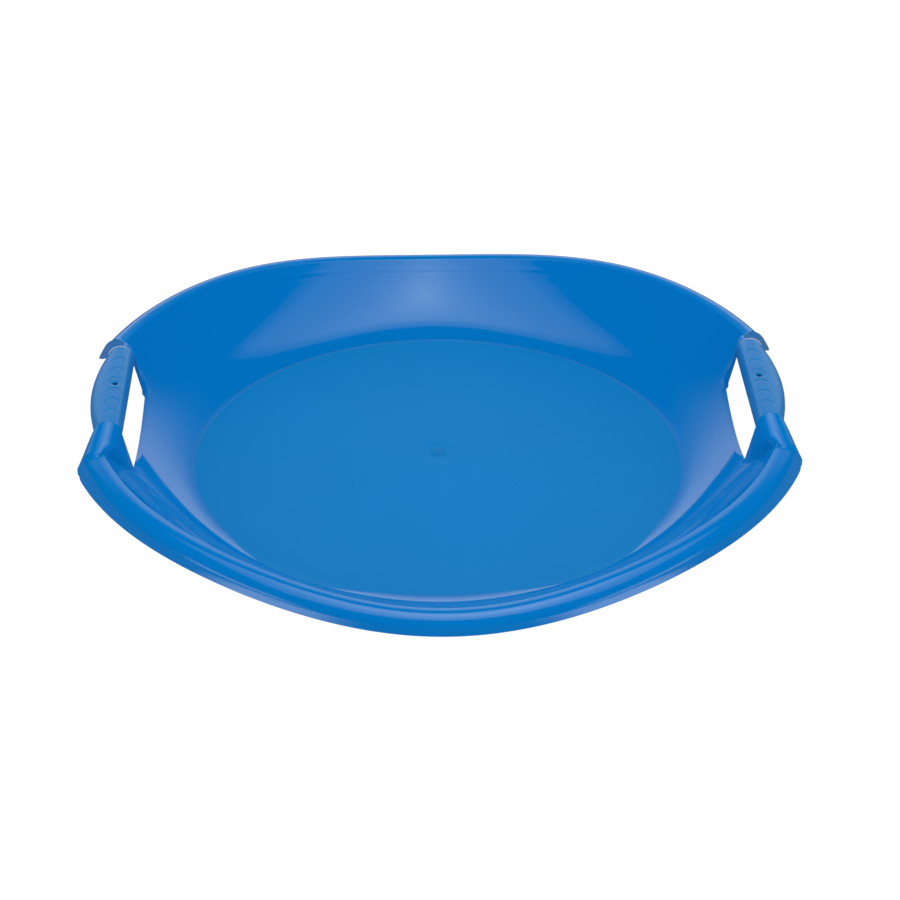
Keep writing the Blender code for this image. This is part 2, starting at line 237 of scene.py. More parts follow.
def closeTree(tree, geometry, material):
    whole = geometry.node("GeometryNodeRealizeInstances", None, {0: geometry})
    dressed = geometry.node("GeometryNodeSetMaterial", None, {"Geometry": whole, "Material": material})
    end = tree.nodes.new("NodeGroupOutput")
    tree.links.new(dressed.socket, end.inputs[0])


def growMesh(obj, tree, sizes):
    # runs the tree on the object and keeps the result as a plain mesh
    modifier = obj.modifiers.new(tree.name, "NODES")
    modifier.node_group = tree
    for item in tree.interface.items_tree:
        if item.in_out == "INPUT" and item.name in sizes:
            modifier[item.identifier] = sizes[item.name]
    return keepMesh(obj)


def keepMesh(obj):
    bpy.context.view_layer.update()
    graph = bpy.context.evaluated_depsgraph_get()
    live = obj.evaluated_get(graph)
    grown = bpy.data.meshes.new_from_object(live, preserve_all_data_layers=True, depsgraph=graph)
    obj.modifiers.clear()
    old = obj.data
    obj.data = grown
    grown.name = obj.name
    bpy.data.meshes.remove(old)
    return obj


def remove(obj):
    mesh = obj.data
    bpy.data.objects.remove(obj)
    bpy.data.meshes.remove(mesh)


def dress(obj, material):
    obj.data.materials.clear()
    obj.data.materials.append(material)
    obj.data.polygons.foreach_set("material_index", [0] * len(obj.data.polygons))


def newObject(name, mesh):
    obj = bpy.data.objects.new(name, mesh)
    bpy.context.scene.collection.objects.link(obj)
    return obj


def meshOf(body, name):
    mesh = bpy.data.meshes.new(name)
    body.to_mesh(mesh)
    body.free()
    return mesh


def eased(value):
    value = min(max(value, 0), 1)
    return value * value * (3 - 2 * value)


def between(first, last, share):
    return first + (last - first) * share


# the next three give the plain dish's upper face, as the node tree saucerRule does, for the bows to stand on
def crestHeight(azimuth):
    return saucer["sideHeight"] - saucer["endDip"] * math.sin(azimuth) ** saucer["dipBend"]


def wallHeight(x, y):
    radius = math.hypot(x, y)
    start = saucer["floorRadius"] + saucer["filletRun"]
    run = saucer["shoulderRadius"] - start
    hollow = saucer["wallHollow"]
    height = crestHeight(math.atan2(y, x)) - saucer["shoulderDrop"] - saucer["sheet"]
    rise = height / (1 + (1 - hollow) * saucer["filletRun"] / (2 * run))
    outwards = (radius - start) / run
    foot = saucer["sheet"] + rise / run * (1 - hollow) * saucer["filletRun"] / 2
    return foot + rise * ((1 - hollow) * outwards + hollow * outwards * outwards)


def plainHeight(x, y):
    # upper face of the plain dish inside the crest, without bead and groove
    short = min(saucer["crestRadius"] - math.hypot(x, y), saucer["bandWidth"])
    drop = math.hypot(short, saucer["bandRound"]) - saucer["bandRound"]
    return min(wallHeight(x, y), crestHeight(math.atan2(y, x)) - saucer["bandSlope"] * drop)


def skirtEdge(azimuth):
    # radius and drop of the skirt's edge: lower and wider towards the handles
    sine = abs(math.sin(azimuth))
    flare = (max(saucer["flareStart"] - sine, 0) / saucer["flareSpan"]) ** saucer["flareBend"]
    depth = saucer["skirtDepth"] + saucer["skirtSideDepth"] * (1 - sine**4)
    return saucer["skirtRadius"] + saucer["skirtFlare"] * flare, depth


rollHalvings = 24  # steps of the two searches by halving below
slopeHalvings = 40


def rolledPoint(azimuth, share):
    # radius and drop along the roll and the skirt, 0 at the crest and 1 at the edge
    edge, depth = skirtEdge(azimuth)
    roll = saucer["rollRadius"]
    low, high = math.radians(40), math.radians(89)
    for _ in range(rollHalvings):
        # the roll turns until the straight skirt below it meets the edge
        turn = (low + high) / 2
        reach = roll * math.sin(turn) + (depth - roll * (1 - math.cos(turn))) / math.tan(turn)
        if reach > edge - saucer["crestRadius"]:
            low = turn
        else:
            high = turn
    rollShare = saucer["rollShare"]
    turned = turn * min(share / rollShare, 1)
    radius = saucer["crestRadius"] + roll * math.sin(turned)
    drop = roll * (1 - math.cos(turned))
    if share > rollShare:
        onSkirt = (share - rollShare) / (1 - rollShare)
        return between(radius, edge, onSkirt), between(drop, depth, onSkirt)
    return radius, drop


def cornerShare(y, share):
    # trims the edge beside the bow, so that the skirt's corner is round
    reach = (y - bow["cut"]) / saucer["cornerWidth"]
    return share * (1 - saucer["cornerTrim"] * math.exp(-reach * reach))


def bowShare(y):
    return min(max((y - bow["gripEnd"]) / (bow["foot"] - bow["gripEnd"]), 0), 1)


def bowRidge(y):
    share = bowShare(y)
    footX = math.sqrt(saucer["crestRadius"] ** 2 - bow["foot"] ** 2)
    footTop = saucer["sideHeight"] + bow["footStep"]
    height = bow["top"] - (bow["top"] - footTop) * share ** bow["ridgeBend"]
    step = bow["footStep"] * eased((share - bow["stepStart"]) / (1 - bow["stepStart"]))
    return between(bow["centre"], footX, share), height - step


def skirtX(y):
    return math.sqrt(skirtEdge(math.asin(y / saucer["crestRadius"]))[0] ** 2 - y * y)


def cutShare(y):
    return (y - bow["gripEnd"]) / (bow["cut"] - bow["gripEnd"])


def cutLine(y):
    # where the bow's outer side ends in plan
    return between(bow["centre"] + bow["radius"], skirtX(bow["cut"]), cutShare(y))


def bowInner(x, y):
    # height of the bow's inner face over a point in plan: round at the ridge, then a steep plane to its foot
    share = bowShare(y)
    ridgeX, ridgeZ = bowRidge(y)
    swell = bow["baseSwell"] * math.sin(math.pi * min(share / bow["swellEnd"], 1))
    base = bow["base"] * (1 - share**3) ** bow["baseBend"] + swell
    if base < bow["baseLeast"]:
        return -1.0
    footZ = plainHeight(ridgeX - base, y)
    across = min(bow["radius"], bow["roundReach"] * base)
    drop = min(bow["radius"] * (1 - bow["roundFall"] * share), bow["roundDrop"] * max(ridgeZ - footZ, 0.0004))
    low, high = 0.01, 400.0
    for _ in range(slopeHalvings):
        # the plane's slope, so that it leaves the round without a kink and ends at the foot
        slope = math.sqrt(low * high)
        ratio = slope * across / drop
        flat = math.sqrt(1 + ratio * ratio)
        foot = ridgeZ - drop * (1 - 1 / flat) - slope * (base - across * ratio / flat)
        if foot > footZ:
            low = slope
        else:
            high = slope
    inward = ridgeX - x
    if inward <= across * ratio / flat:
        return ridgeZ - drop * (1 - math.sqrt(max(1 - (inward / across) ** 2, 0)))
    return ridgeZ - drop * (1 - 1 / flat) - slope * (inward - across * ratio / flat)


def bowFlank(y, share):
    # outer side of the bow as (x, z): round at the grip, like the rim at the foot
    ridgeX, ridgeZ = bowRidge(y)
    azimuth = math.asin(y / saucer["crestRadius"])
    edgeX = min(cutLine(y), skirtX(y))
    edgeZ = saucer["sideHeight"] - skirtEdge(azimuth)[1]
    lip = between(bow["lip"], edgeZ, min(cutShare(y), 1))
    radius, drop = rolledPoint(azimuth, share)
    endRadius, endDrop = rolledPoint(azimuth, 1)
    rolledAcross = (radius - saucer["crestRadius"]) / (endRadius - saucer["crestRadius"])
    near = bowShare(y)
    blend = eased(near)
    quarter = math.pi / 2 * share
    across = between(math.sin(quarter), rolledAcross, blend)
    down = between(1 - math.cos(quarter), drop / endDrop, blend)
    past = eased((near - bow["broadEnd"]) / (1 - bow["broadEnd"]))
    down = down ** (1 + bow["broad"] * eased(near / bow["broadStart"]) * (1 - past))
    return between(ridgeX, edgeX, across), between(ridgeZ, lip, down)


# rows and columns of the plan grid, close together where the surface bends
floorRings = [0.0015, 0.004, 0.0065, 0.0075, 0.0085, 0.0095, 0.0105, 0.0115, 0.0125, 0.014, 0.017, 0.025, 0.04]
floorRings += [0.06, 0.08, 0.10, 0.12, 0.14, 0.155, 0.165, 0.175, 0.185, 0.192, 0.195]
wallRings = [0.1965, 0.198, 0.200, 0.2025, 0.205]
wallRows = 9
innerShares = [0.0, 0.035, 0.075] + [0.075 + 0.925 * i / 11 for i in range(1, 12)]
rimShares = [0.08, 0.15, 0.19, 0.23, 0.27, 0.31, 0.35, 0.385, 0.42, 0.455, 0.49, 0.53, 0.57, 0.62, 0.68, 0.75]
rimShares += [0.82, 0.91, 1.0]
rollShares = [i / 20 for i in range(1, 21)]
rimStart = 0.2685
rowsMeet = (0.5, 0.6)  # where the inner rows meet the rim's on a bow, at the grip and at the foot
windowColumns = 16
bowColumns = 42
thinColumns = 6  # the sheet is thinner over these, beside the hand opening
rimColumns = 62
rimCrowding = 1.12

# what the height rule needs of a point: the bow's height over it, whether only the bow counts,
# its drop on the roll, the axes its thickness may use, and how much thinner it is
plainPoint = {"bowHeight": -1.0, "bowOnly": 0.0, "rollDrop": -1.0, "keep": (1, 1, 1), "thin": 0.0}


def quarterColumns():
    # each column: (kind, position) from the middle of the hand opening to the front or the back
    columns = [("window", i / windowColumns) for i in range(windowColumns)]
    columns += [("bow", i / bowColumns) for i in range(bowColumns + 1)]
    columns += [("rim", (i / rimColumns) ** rimCrowding) for i in range(1, rimColumns + 1)]
    return columns


def polar(radius, angle, values=plainPoint):
    return radius * math.cos(angle), radius * math.sin(angle), values


def bowPoints(endX, endY, place):
    # over the bow, from the wall up to the ridge and down its outer side
    points = []
    ridgeY = between(bow["gripEnd"], bow["foot"], place)
    ridgeX, ridgeZ = bowRidge(ridgeY)
    midX = between(bow["sillX"], ridgeX, between(*rowsMeet, place))
    xs = [between(endX, midX, share) for share in innerShares]
    xs += [between(midX, ridgeX, share) for share in rimShares]
    atEdge = place == 0
    thin = bow["cornerSheet"] * max(1 - place * bowColumns / thinColumns, 0)
    for i, x in enumerate(xs):
        toGrip = (x - endX) / (bow["gripSide"] - endX)
        y = between(endY, ridgeY, min(toGrip, 1))
        last = i == len(xs) - 1
        height = ridgeZ if last else bowInner(x, max(y, bow["gripEnd"]))
        keep = (1, 1, 1)
        if atEdge:
            keep = (0, 0, 1) if i == 0 else (1, 0, int(x >= bow["gripSide"]))
        less = thin * max(1 - toGrip, 0) if i else 0
        points.append((x, y, dict(plainPoint, bowHeight=height, bowOnly=float(last), keep=keep, thin=less)))
    for share in rollShares:
        x, z = bowFlank(ridgeY, cornerShare(ridgeY, share))
        keep = (1, int(not atEdge), int(share < 1))
        points.append((x, ridgeY, dict(plainPoint, bowHeight=z, bowOnly=1.0, keep=keep)))
    return points


def rimPoints(footRadius, azimuth, place):
    # over the plain rim, from the wall up to the crest, the roll and the skirt
    starts = [math.asin(bow["foot"] / radius) for radius in (rimStart, saucer["crestRadius"])]
    starts.append(math.atan2(bow["foot"], skirtX(bow["foot"])))
    angles = [between(start, math.pi / 2, place) for start in starts]
    points = []
    for share in innerShares:
        points.append(polar(between(footRadius, rimStart, share), between(azimuth, angles[0], share)))
    for share in rimShares:
        radius = between(rimStart, saucer["crestRadius"], share)
        points.append(polar(radius, between(angles[0], angles[1], share)))
    for share in rollShares:
        angle = between(angles[1], angles[2], share)
        radius, drop = rolledPoint(angle, cornerShare(saucer["crestRadius"] * math.sin(angle), share))
        points.append(polar(radius, angle, dict(plainPoint, rollDrop=drop, keep=(1, 1, int(share < 1)))))
    return points


def columnPoints(kind, place):
    # list of (x, y, stored values) from the floor's middle outwards
    footRadius = math.hypot(bow["foot"], bow["sillX"])
    if kind == "window":
        endX, endY = bow["sillX"], bow["sillEnd"] * place
    elif kind == "bow":
        endX, endY = bow["sillX"], between(bow["sillEnd"], bow["foot"], place)
    else:
        angle = between(math.atan2(bow["foot"], bow["sillX"]), math.pi / 2, place)
        endX, endY = footRadius * math.cos(angle), footRadius * math.sin(angle)
    azimuth = math.atan2(endY, endX)
    endRadius = math.hypot(endX, endY)
    radii = floorRings + wallRings
    radii += [between(wallRings[-1], endRadius, i / wallRows) for i in range(1, wallRows)]
    points = [polar(radius, azimuth) for radius in radii]
    if kind == "window":
        return points + [(endX, endY, dict(plainPoint, keep=(0, 0, 1)))]
    if kind == "bow":
        return points + bowPoints(endX, endY, place)
    return points + rimPoints(footRadius, azimuth, place)


def dishPlan():
    quarter = [columnPoints(*column) for column in quarterColumns()]
    back = quarter[-2:0:-1]
    ring = [(points, 1, 1) for points in quarter] + [(points, -1, 1) for points in back + [quarter[0]]]
    ring += [(points, -1, -1) for points in quarter[1:]] + [(points, 1, -1) for points in back]
    plan = bmesh.new()
    layers = {name: plan.verts.layers.float.new(name) for name in ("bowHeight", "bowOnly", "rollDrop", "thin")}
    keepLayer = plan.verts.layers.float_vector.new("keepAxes")

    def addPoint(x, y, values):
        vertex = plan.verts.new((x, y, 0))
        for name, layer in layers.items():
            vertex[layer] = values[name]
        vertex[keepLayer] = Vector(values["keep"])
        return vertex

    middle = addPoint(0, 0, plainPoint)
    columns = []
    for points, signX, signY in ring:
        columns.append([addPoint(signX * x, signY * y, values) for x, y, values in points])
    for i, near in enumerate(columns):
        far = columns[(i + 1) % len(columns)]
        plan.faces.new((middle, near[0], far[0]))
        for row in range(min(len(near), len(far)) - 1):
            plan.faces.new((near[row], near[row + 1], far[row + 1], far[row]))
    return meshOf(plan, "dishPlan")


def named(wire, name, kind="FLOAT"):
    return wire.node("GeometryNodeInputNamedAttribute", {"data_type": kind}, {"Name": name})


def store(geometry, name, value):
    settings = {"data_type": "FLOAT_VECTOR", "domain": "POINT"}
    values = {"Geometry": geometry, "Name": name, "Value": value}
    return geometry.node("GeometryNodeStoreNamedAttribute", settings, values)


def moved(geometry, **values):
    return geometry.node("GeometryNodeSetPosition", None, dict(values, Geometry=geometry))


def thicken(top, offset):
    # closes a sheet: the under side is a flipped copy moved by the offset, and the open edges are walled
    edgeFaces = top.node("GeometryNodeInputMeshEdgeNeighbors")
    compare = {"data_type": "INT", "operation": "EQUAL"}
    openEdge = top.node("FunctionNodeCompare", compare, {2: edgeFaces, 3: 1})
    under = top.node("GeometryNodeFlipFaces", None, {0: moved(top, Offset=offset)})
    edges = {"Mesh": top, "Selection": openEdge, "Offset Scale": 0.0}
    walled = top.node("GeometryNodeExtrudeMesh", {"mode": "EDGES"}, edges)
    walled = moved(walled, Selection=walled.also("Top"), Offset=offset)
    joined = top.node("GeometryNodeJoinGeometry")
    for part in (walled, under):
        top.tree.links.new(part.socket, joined.socket.node.inputs[0])
    return top.node("GeometryNodeMergeByDistance", None, {"Geometry": joined, "Distance": 0.00001})


def dishTree(material):
    used = ["sheet", "floorRadius", "floorFlat", "floorCrown", "filletRun", "wallHollow", "crestRadius"]
    used += ["sideHeight", "endDip", "shoulderRadius", "shoulderDrop", "bandSlope", "bandRound", "bandWidth"]
    used += ["beadRadius", "beadHeight", "grooveRadius", "grooveDepth", "gateRadius", "gateDepth"]
    used += ["stubRadius", "stubHeight"]
    sizes = {label(name): saucer[name] for name in used}
    sizes["Crease Round"] = bow["creaseRound"]
    tree, size = geometryTree("saucerRule", sizes)
    plan = size["Geometry"]
    x, y, _ = plan.node("GeometryNodeInputPosition").xyz()
    radius = (x * x + y * y) ** 0.5
    sine = y / (radius + 1e-6)
    crest = size["Side Height"] - size["End Dip"] * (sine * sine) ** (saucer["dipBend"] / 2)

    # fillet and hollow wall, then what stands on the floor
    start = size["Floor Radius"] + size["Fillet Run"]
    run = size["Shoulder Radius"] - start
    hollow = size["Wall Hollow"]
    height = crest - size["Shoulder Drop"] - size["Sheet"]
    rise = height / (1 + (1 - hollow) * size["Fillet Run"] / (run * 2))
    slope = rise / run * (1 - hollow)
    reach = (radius - size["Floor Radius"]).clamp(0.0, size["Fillet Run"])
    outwards = ((radius - start) / run).clamp(0.0, 1.6)
    wall = size["Sheet"] + slope * reach * reach / (size["Fillet Run"] * 2)
    wall = wall + rise * ((1 - hollow) * outwards + hollow * outwards * outwards)
    inward = (radius / size["Floor Flat"]).clamp()
    crown = size["Floor Crown"] * (1 + (inward * math.pi).math("COSINE")) / 2
    gate = (radius - size["Gate Radius"]).fall(-saucer["gateSoft"], saucer["gateSoft"])
    stub = radius.fall(size["Stub Radius"] * saucer["stubTop"], size["Stub Radius"])
    wall = wall + crown - size["Gate Depth"] * gate + stub * size["Stub Height"]

    # the rim's band, the roll and the bows
    short = (size["Crest Radius"] - radius).clamp(-1.0, size["Band Width"])
    bandRound = size["Band Round"]
    rim = crest - size["Band Slope"] * ((short * short + bandRound * bandRound) ** 0.5 - bandRound)
    dish = wall.math("SMOOTH_MIN", rim, saucer["bandMerge"])
    rollDrop = named(plan, "rollDrop")
    rolled = rollDrop.math("GREATER_THAN", -0.5)
    dish = dish * (1 - rolled) + (crest - rollDrop) * rolled
    bowHeight = named(plan, "bowHeight")
    bowOnly = named(plan, "bowOnly")
    humped = dish.math("SMOOTH_MAX", bowHeight, size["Crease Round"])
    level = humped * (1 - bowOnly) + bowHeight * bowOnly
    smooth = moved(plan, Position=plan.combine(x, y, level))

    # the sheet's thickness is square to the surface, and keeps to the allowed axes at its edges
    blur = {"Value": plan.node("GeometryNodeInputNormal"), "Iterations": 5}
    blurred = plan.node("GeometryNodeBlurAttribute", {"data_type": "FLOAT_VECTOR"}, blur)
    facing = plan.vector("NORMALIZE", blurred)
    kept = plan.vector("MULTIPLY", facing, named(plan, "keepAxes", "FLOAT_VECTOR"))
    kept = plan.vector("NORMALIZE", kept)
    square = plan.vector("DOT_PRODUCT", kept, facing, out=1).clamp(0.6, 1.0)
    thickness = size["Sheet"] / square * (1 - named(plan, "thin"))
    toUnder = plan.node("ShaderNodeVectorMath", {"operation": "SCALE"}, {0: kept, 3: -thickness})
    smooth = store(smooth, "toUnder", toUnder)

    # bead and groove, on the upper side only, fading out beside the handles
    cosine = abs(x) / (radius + 1e-6)
    fade = cosine.fall(*[math.cos(math.radians(angle)) for angle in saucer["rippleEnd"]])
    bead = size["Bead Height"] * radius.bell(size["Bead Radius"], saucer["beadWidth"])
    groove = size["Groove Depth"] * radius.bell(size["Groove Radius"], saucer["grooveWidth"])
    ripple = plan.combine(0.0, 0.0, (bead - groove) * fade * (1 - rolled) * (1 - bowOnly))
    top = store(moved(smooth, Offset=ripple), "ripple", ripple)
    kinds = [named(plan, name, "FLOAT_VECTOR") for name in ("toUnder", "ripple")]
    top = store(top, "sheetOffset", plan.vector("SUBTRACT", *kinds))
    shell = thicken(top, named(plan, "sheetOffset", "FLOAT_VECTOR"))
    for spent in ("bowHeight", "bowOnly", "rollDrop", "thin", "keepAxes", "toUnder", "ripple", "sheetOffset"):
        shell = plan.node("GeometryNodeRemoveAttribute", None, {"Geometry": shell, "Name": spent})
    closeTree(tree, shell, material)
    return tree, sizes


def roundEdges(obj, width, segments=2, angle=50):
    modifier = obj.modifiers.new("roundEdges", "BEVEL")
    modifier.width = width
    modifier.segments = segments
    modifier.limit_method = "ANGLE"
    modifier.angle_limit = math.radians(angle)
    modifier.use_clamp_overlap = True
    return keepMesh(obj)


def boxMesh(name, low, high):
    body = bmesh.new()
    bmesh.ops.create_cube(body, size=1.0)
    for vertex in body.verts:
        vertex.co = Vector(between(low[i], high[i], vertex.co[i] + 0.5) for i in range(3))
    return meshOf(body, name)


def cylinderMesh(name, x, radius, low, high, corners=48):
    body = bmesh.new()
    bmesh.ops.create_cone(
        body, cap_ends=True, segments=corners, radius1=radius, radius2=radius, depth=high - low
    )
    bmesh.ops.translate(body, verts=body.verts, vec=(x, 0, (low + high) / 2))
    return meshOf(body, name)


def carve(obj, cutter, operation="DIFFERENCE"):
    modifier = obj.modifiers.new("carve", "BOOLEAN")
    modifier.operation = operation
    modifier.solver = "EXACT"
    modifier.object = cutter
    keepMesh(obj)
    remove(cutter)


def addBars(dish):
    # the slim bar inside each grip, from bow end to bow end
    for side in (1, -1):
        middle = side * bow["barX"]
        low = (middle - bow["barHalf"], -bow["barEnd"], bow["barTop"] - bow["barHeight"])
        high = (middle + bow["barHalf"], bow["barEnd"], bow["barTop"])
        bar = newObject("bar", boxMesh("bar", low, high))
        body = bmesh.new()
        body.from_mesh(bar.data)
        for end in (1, -1):
            parts = list(body.verts) + list(body.edges) + list(body.faces)
            bend = (0, bow["barBend"] * end, 0)
            bmesh.ops.bisect_plane(body, geom=parts, plane_co=bend, plane_no=(0, 1, 0))
        for vertex in body.verts:
            if abs(vertex.co.y) > bow["barBend"] + 0.001:
                vertex.co.x = between(middle, vertex.co.x, bow["barSlim"]) + side * bow["barShift"]
                vertex.co.z -= bow["barDrop"]
        body.to_mesh(bar.data)
        body.free()
        hole = cylinderMesh("hole", side * grip["holeX"], grip["holeRadius"], grip["cutLow"], grip["cutHigh"])
        carve(bar, newObject("hole", hole))
        roundEdges(bar, bow["barRound"])
        joined = bmesh.new()
        joined.from_mesh(dish.data)
        joined.from_mesh(bar.data)
        joined.to_mesh(dish.data)
        joined.free()
        remove(bar)


dishFinish = {
    "gloss": (0.0, 0.170, 0.525, 1),
    # the matte floor's colour is lighter than the gloss's: partly painted sheen of its eroded finish
    "floor": (0.0, 0.190, 0.515, 1),
    "rubbed": (0.12, 0.33, 0.66, 1),
    "endHighlightColour": (0.66, 0.70, 0.82, 1),  # painted highlight: pale colour on the bows' cut ends, and the ranges below say where it lies
    "endHighlightSide": (0.2445, 0.2465),
    "endHighlightEnd": (0.0885, 0.0895),
    "endHighlightLow": (0.038, 0.042),
    "glossRoughness": 0.06,
    "glossSpecular": 0.5,
    "floorRoughness": 0.55,
    "floorSpecular": 0.08,
    "wear": 0.30,
    "matteRise": 0.010,  # how far the matte finish runs up the fillet
    "matteSoft": 0.0003,
    "cloudScale": 9.0,
    "fineScale": 420.0,
    "grainScale": 2200.0,
    "waveScale": 60.0,
    "flowScale": 3.2,
    "dustScale": 40.0,
    "dustSize": 0.018,
    "dust": 0.5,
    "dragTurns": 4.0,  # drag marks: how they vary round the wall, and how fine they are across it
    "dragRings": 900.0,
    "fineHeight": 0.000004,
    "waveHeight": 0.00003,
    "dragHeight": 0.000004,
    "floorGrainHeight": 0.00006,
    "floorFineHeight": 0.00003,
}


def clearNodes(owner):
    owner.use_nodes = True
    owner.node_tree.nodes.clear()
    return Wire(owner.node_tree)


def startMaterial(name):
    material = bpy.data.materials.new(name)
    return material, clearNodes(material)


def plastic(wire, colour, roughness, height, specular):
    bump = wire.node("ShaderNodeBump", None, {"Height": height, "Distance": 1.0, "Strength": 1.0})
    values = {"Base Color": colour, "Roughness": roughness, "Normal": bump, "Specular IOR Level": specular}
    return wire.node("ShaderNodeBsdfPrincipled", None, values)


def finish(wire, shader, kind="Material"):
    output = wire.tree.nodes.new("ShaderNodeOutput" + kind)
    wire.tree.links.new(shader.socket, output.inputs[0])


def noise(wire, place, scale, detail=2.0, roughness=0.5):
    values = {"Vector": place, "Scale": scale, "Detail": detail, "Roughness": roughness}
    return wire.node("ShaderNodeTexNoise", None, values)


def shaded(wire, colour, shade):
    return wire.mixColour(1.0, colour, wire.combine(shade, shade, shade), "MULTIPLY")


def edgeWear(wire, place, strength):
    # sharp edges are rubbed in patches
    sharp = wire.node("ShaderNodeNewGeometry", out=7).ramp(0.53, 0.60)
    return sharp * noise(wire, place, 70.0, 4.0).ramp(0.42, 0.62) * strength


def specks(wire, place, scale, size):
    # few, small, pale specks of dust and swarf
    cells = wire.node("ShaderNodeTexVoronoi", None, {"Vector": place, "Scale": scale})
    chosen = cells.also(1).xyz()[0].math("GREATER_THAN", 0.93)
    return cells.fall(size * 0.6, size) * chosen


def dishMaterial():
    material, wire = startMaterial("glossBlueMoulding")
    place = wire.node("ShaderNodeTexCoord", out=3)
    x, y, z = place.xyz()
    radius = (x * x + y * y) ** 0.5
    normalZ = wire.node("ShaderNodeNewGeometry", out=1).xyz()[2]

    # the matte finish ends at the floor's edge, and runs up the fillet to both sides of the front
    slant = abs(x) / (radius + 0.001)
    further = slant.ramp(0.10, 0.52) * slant.fall(0.62, 0.90) * y.fall(-0.02, 0.0)
    edge, soft = saucer["floorRadius"], dishFinish["matteSoft"]
    floorMask = (radius - further * dishFinish["matteRise"]).fall(edge - soft, edge + soft)
    floorMask = floorMask * normalZ.ramp(0.0, 0.2)
    cloud = noise(wire, place, dishFinish["cloudScale"], 3.0)
    fine = noise(wire, place, dishFinish["fineScale"], 3.0)
    grain = noise(wire, place, dishFinish["grainScale"])
    wear = edgeWear(wire, place, dishFinish["wear"])
    dust = specks(wire, place, dishFinish["dustScale"], dishFinish["dustSize"]) * dishFinish["dust"]

    # faint drag marks run round the wall, as the tool left them
    turned = [axis / (radius + 0.001) * dishFinish["dragTurns"] for axis in (y, x)]
    drag = noise(wire, wire.combine(*turned, radius * dishFinish["dragRings"]), 1.0, 3.0)
    shade = (cloud - 0.5) * 0.10 + (drag - 0.5) * 0.03 + 1.0
    rubbed = (wear + dust).clamp()
    colour = wire.mixColour(rubbed, shaded(wire, dishFinish["gloss"], shade), dishFinish["rubbed"])

    # painted highlight: pale colour on the bows' cut ends, which face the sled's middle
    facing = -wire.node("ShaderNodeNewGeometry", out=3).xyz()[1] * y.math("SIGN")
    endHighlight = facing.ramp(0.50, 0.65) * abs(x).ramp(*dishFinish["endHighlightSide"])
    endHighlight = endHighlight * abs(y).fall(*dishFinish["endHighlightEnd"])
    endHighlight = endHighlight * z.ramp(*dishFinish["endHighlightLow"]) * (0.8 + (fine - 0.5))
    colour = wire.mixColour(endHighlight.clamp(), colour, dishFinish["endHighlightColour"])
    roughness = dishFinish["glossRoughness"] + (cloud - 0.5) * 0.05 + (fine - 0.5) * 0.03 + wear * 0.25
    waves = noise(wire, place, dishFinish["waveScale"]) * dishFinish["waveHeight"]
    height = fine * dishFinish["fineHeight"] + waves + drag * dishFinish["dragHeight"]
    glossy = plastic(wire, colour, roughness, height, dishFinish["glossSpecular"])

    # the floor: eroded finish with cloudy flow marks round the gate; its lighter colour is partly painted sheen
    flow = noise(wire, place, dishFinish["flowScale"], 4.0, 0.6)
    shade = (cloud - 0.5) * 0.06 + (flow - 0.5) * 0.08 + (fine - 0.5) * 0.06 + (grain - 0.5) * 0.05 + 1.0
    # painted shade: the floor is drawn darker over the stub
    shade = shade - radius.fall(saucer["stubRadius"] * 0.8, saucer["stubRadius"]) * 0.07
    colour = wire.mixColour(dust, shaded(wire, dishFinish["floor"], shade), dishFinish["rubbed"])
    roughness = dishFinish["floorRoughness"] + (cloud - 0.5) * 0.06
    height = grain * dishFinish["floorGrainHeight"] + fine * dishFinish["floorFineHeight"]
    matt = plastic(wire, colour, roughness, height, dishFinish["floorSpecular"])
    finish(wire, wire.node("ShaderNodeMixShader", None, {0: floorMask, 1: glossy, 2: matt}))
    return material


gripFinish = {
    "blue": (0.0, 0.176, 0.50, 1),
    "rubbed": (0.10, 0.30, 0.60, 1),
    "roughness": 0.38,
    "specular": 0.5,
    "wear": 0.35,
    "cloudScale": 30.0,
    "grainScale": 1800.0,
    "pitScale": 350.0,
    "grainHeight": 0.00004,
    "pitHeight": 0.00002,
}


def gripMaterial():
    material, wire = startMaterial("matteBlueGrip")
    place = wire.node("ShaderNodeTexCoord", out=3)
    cloud = noise(wire, place, gripFinish["cloudScale"], 3.0)
    grain = noise(wire, place, gripFinish["grainScale"])
    pits = noise(wire, place, gripFinish["pitScale"])
    wear = edgeWear(wire, place, gripFinish["wear"])
    shade = (cloud - 0.5) * 0.10 + (grain - 0.5) * 0.05 + 1.0
    colour = wire.mixColour(wear, shaded(wire, gripFinish["blue"], shade), gripFinish["rubbed"])
    height = grain * gripFinish["grainHeight"] + pits * gripFinish["pitHeight"]
    roughness = gripFinish["roughness"] + (cloud - 0.5) * 0.08 + wear * 0.1
    finish(wire, plastic(wire, colour, roughness, height, gripFinish["specular"]))
    return material


